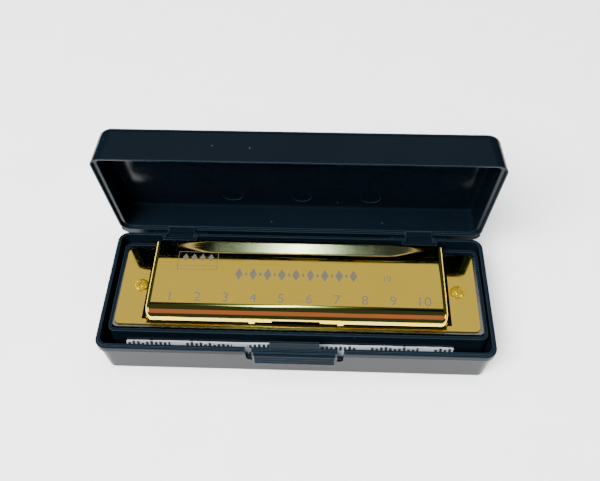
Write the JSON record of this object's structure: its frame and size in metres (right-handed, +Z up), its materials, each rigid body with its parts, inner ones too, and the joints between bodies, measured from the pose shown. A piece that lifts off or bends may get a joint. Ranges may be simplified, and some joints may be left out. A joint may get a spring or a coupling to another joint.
{
  "type": "harmonica case",
  "caption": "Hinged plastic case with a spring latch, open, with a small diatonic harmonica in its cradle and a paper slip beside it.",
  "frame": {"origin": "centre of the case's flat underside", "axes": "+X to the right along the hinge, +Y from the latch to the hinge, +Z up"},
  "size_m": [0.1092, 0.0541, 0.0525],
  "materials": {
    "case_plastic": "moulded, near-black blue, glossy",
    "lid_plastic": "moulded, near-black blue, glossy",
    "latch_plastic": "moulded, near-black blue, glossy",
    "pin_steel": "drawn wire",
    "slip_paper": "matt printed paper",
    "comb_plastic": "moulded, black",
    "plate_metal": "fine ground sheet",
    "cover_gold": "mirror-polished gold-coloured plating",
    "screw_gold": "polished gold-coloured plating",
    "reed_brass": "satin brass",
    "nail_steel": "bright"
  },
  "bodies": {
    "base": {"case_base": "case_plastic", "hinge_pin_left": "pin_steel", "hinge_pin_right": "pin_steel"},
    "lid": {"case_lid": "lid_plastic"},
    "latch": {"latch_clip": "latch_plastic"},
    "slip": {"paper_slip": "slip_paper"},
    "harmonica": {"harmonica_comb": "comb_plastic", "upper_reed_plate": "plate_metal", "lower_reed_plate": "plate_metal", "upper_cover": "cover_gold", "lower_cover": "cover_gold", "cover_screws": "screw_gold", "cover_nuts": "screw_gold", "blow_reed_rivets": "reed_brass", "draw_reed_rivets": "reed_brass", "upper_plate_nails": "nail_steel", "lower_plate_nails": "nail_steel", "blow_reed_01": "reed_brass", "blow_reed_02": "reed_brass", "blow_reed_03": "reed_brass", "blow_reed_04": "reed_brass", "blow_reed_05": "reed_brass", "blow_reed_06": "reed_brass", "blow_reed_07": "reed_brass", "blow_reed_08": "reed_brass", "blow_reed_09": "reed_brass", "blow_reed_10": "reed_brass", "draw_reed_01": "reed_brass", "draw_reed_02": "reed_brass", "draw_reed_03": "reed_brass", "draw_reed_04": "reed_brass", "draw_reed_05": "reed_brass", "draw_reed_06": "reed_brass", "draw_reed_07": "reed_brass", "draw_reed_08": "reed_brass", "draw_reed_09": "reed_brass", "draw_reed_10": "reed_brass"}
  },
  "joints": [
    {"name": "lid_hinge", "type": "hinge", "parent": "base", "child": "lid", "pos_m": [0, 0.02035, 0.01135], "axis": [-1, 0, 0], "range_deg": [-78, 32]},
    {"name": "latch_pivot", "type": "hinge", "parent": "base", "child": "latch", "pos_m": [0, -0.01873, 0.0088], "axis": [-1, 0, 0], "range_deg": [0, 8], "stiffness_Nm_per_rad": 0.25},
    {"name": "harmonica_lift", "type": "slide", "parent": "base", "child": "harmonica", "axis": [0, 0, 1], "range_m": [0, 0.025]},
    {"name": "slip_lift", "type": "slide", "parent": "base", "child": "slip", "axis": [0, 0, 1], "range_m": [0, 0.035]}
  ]
}
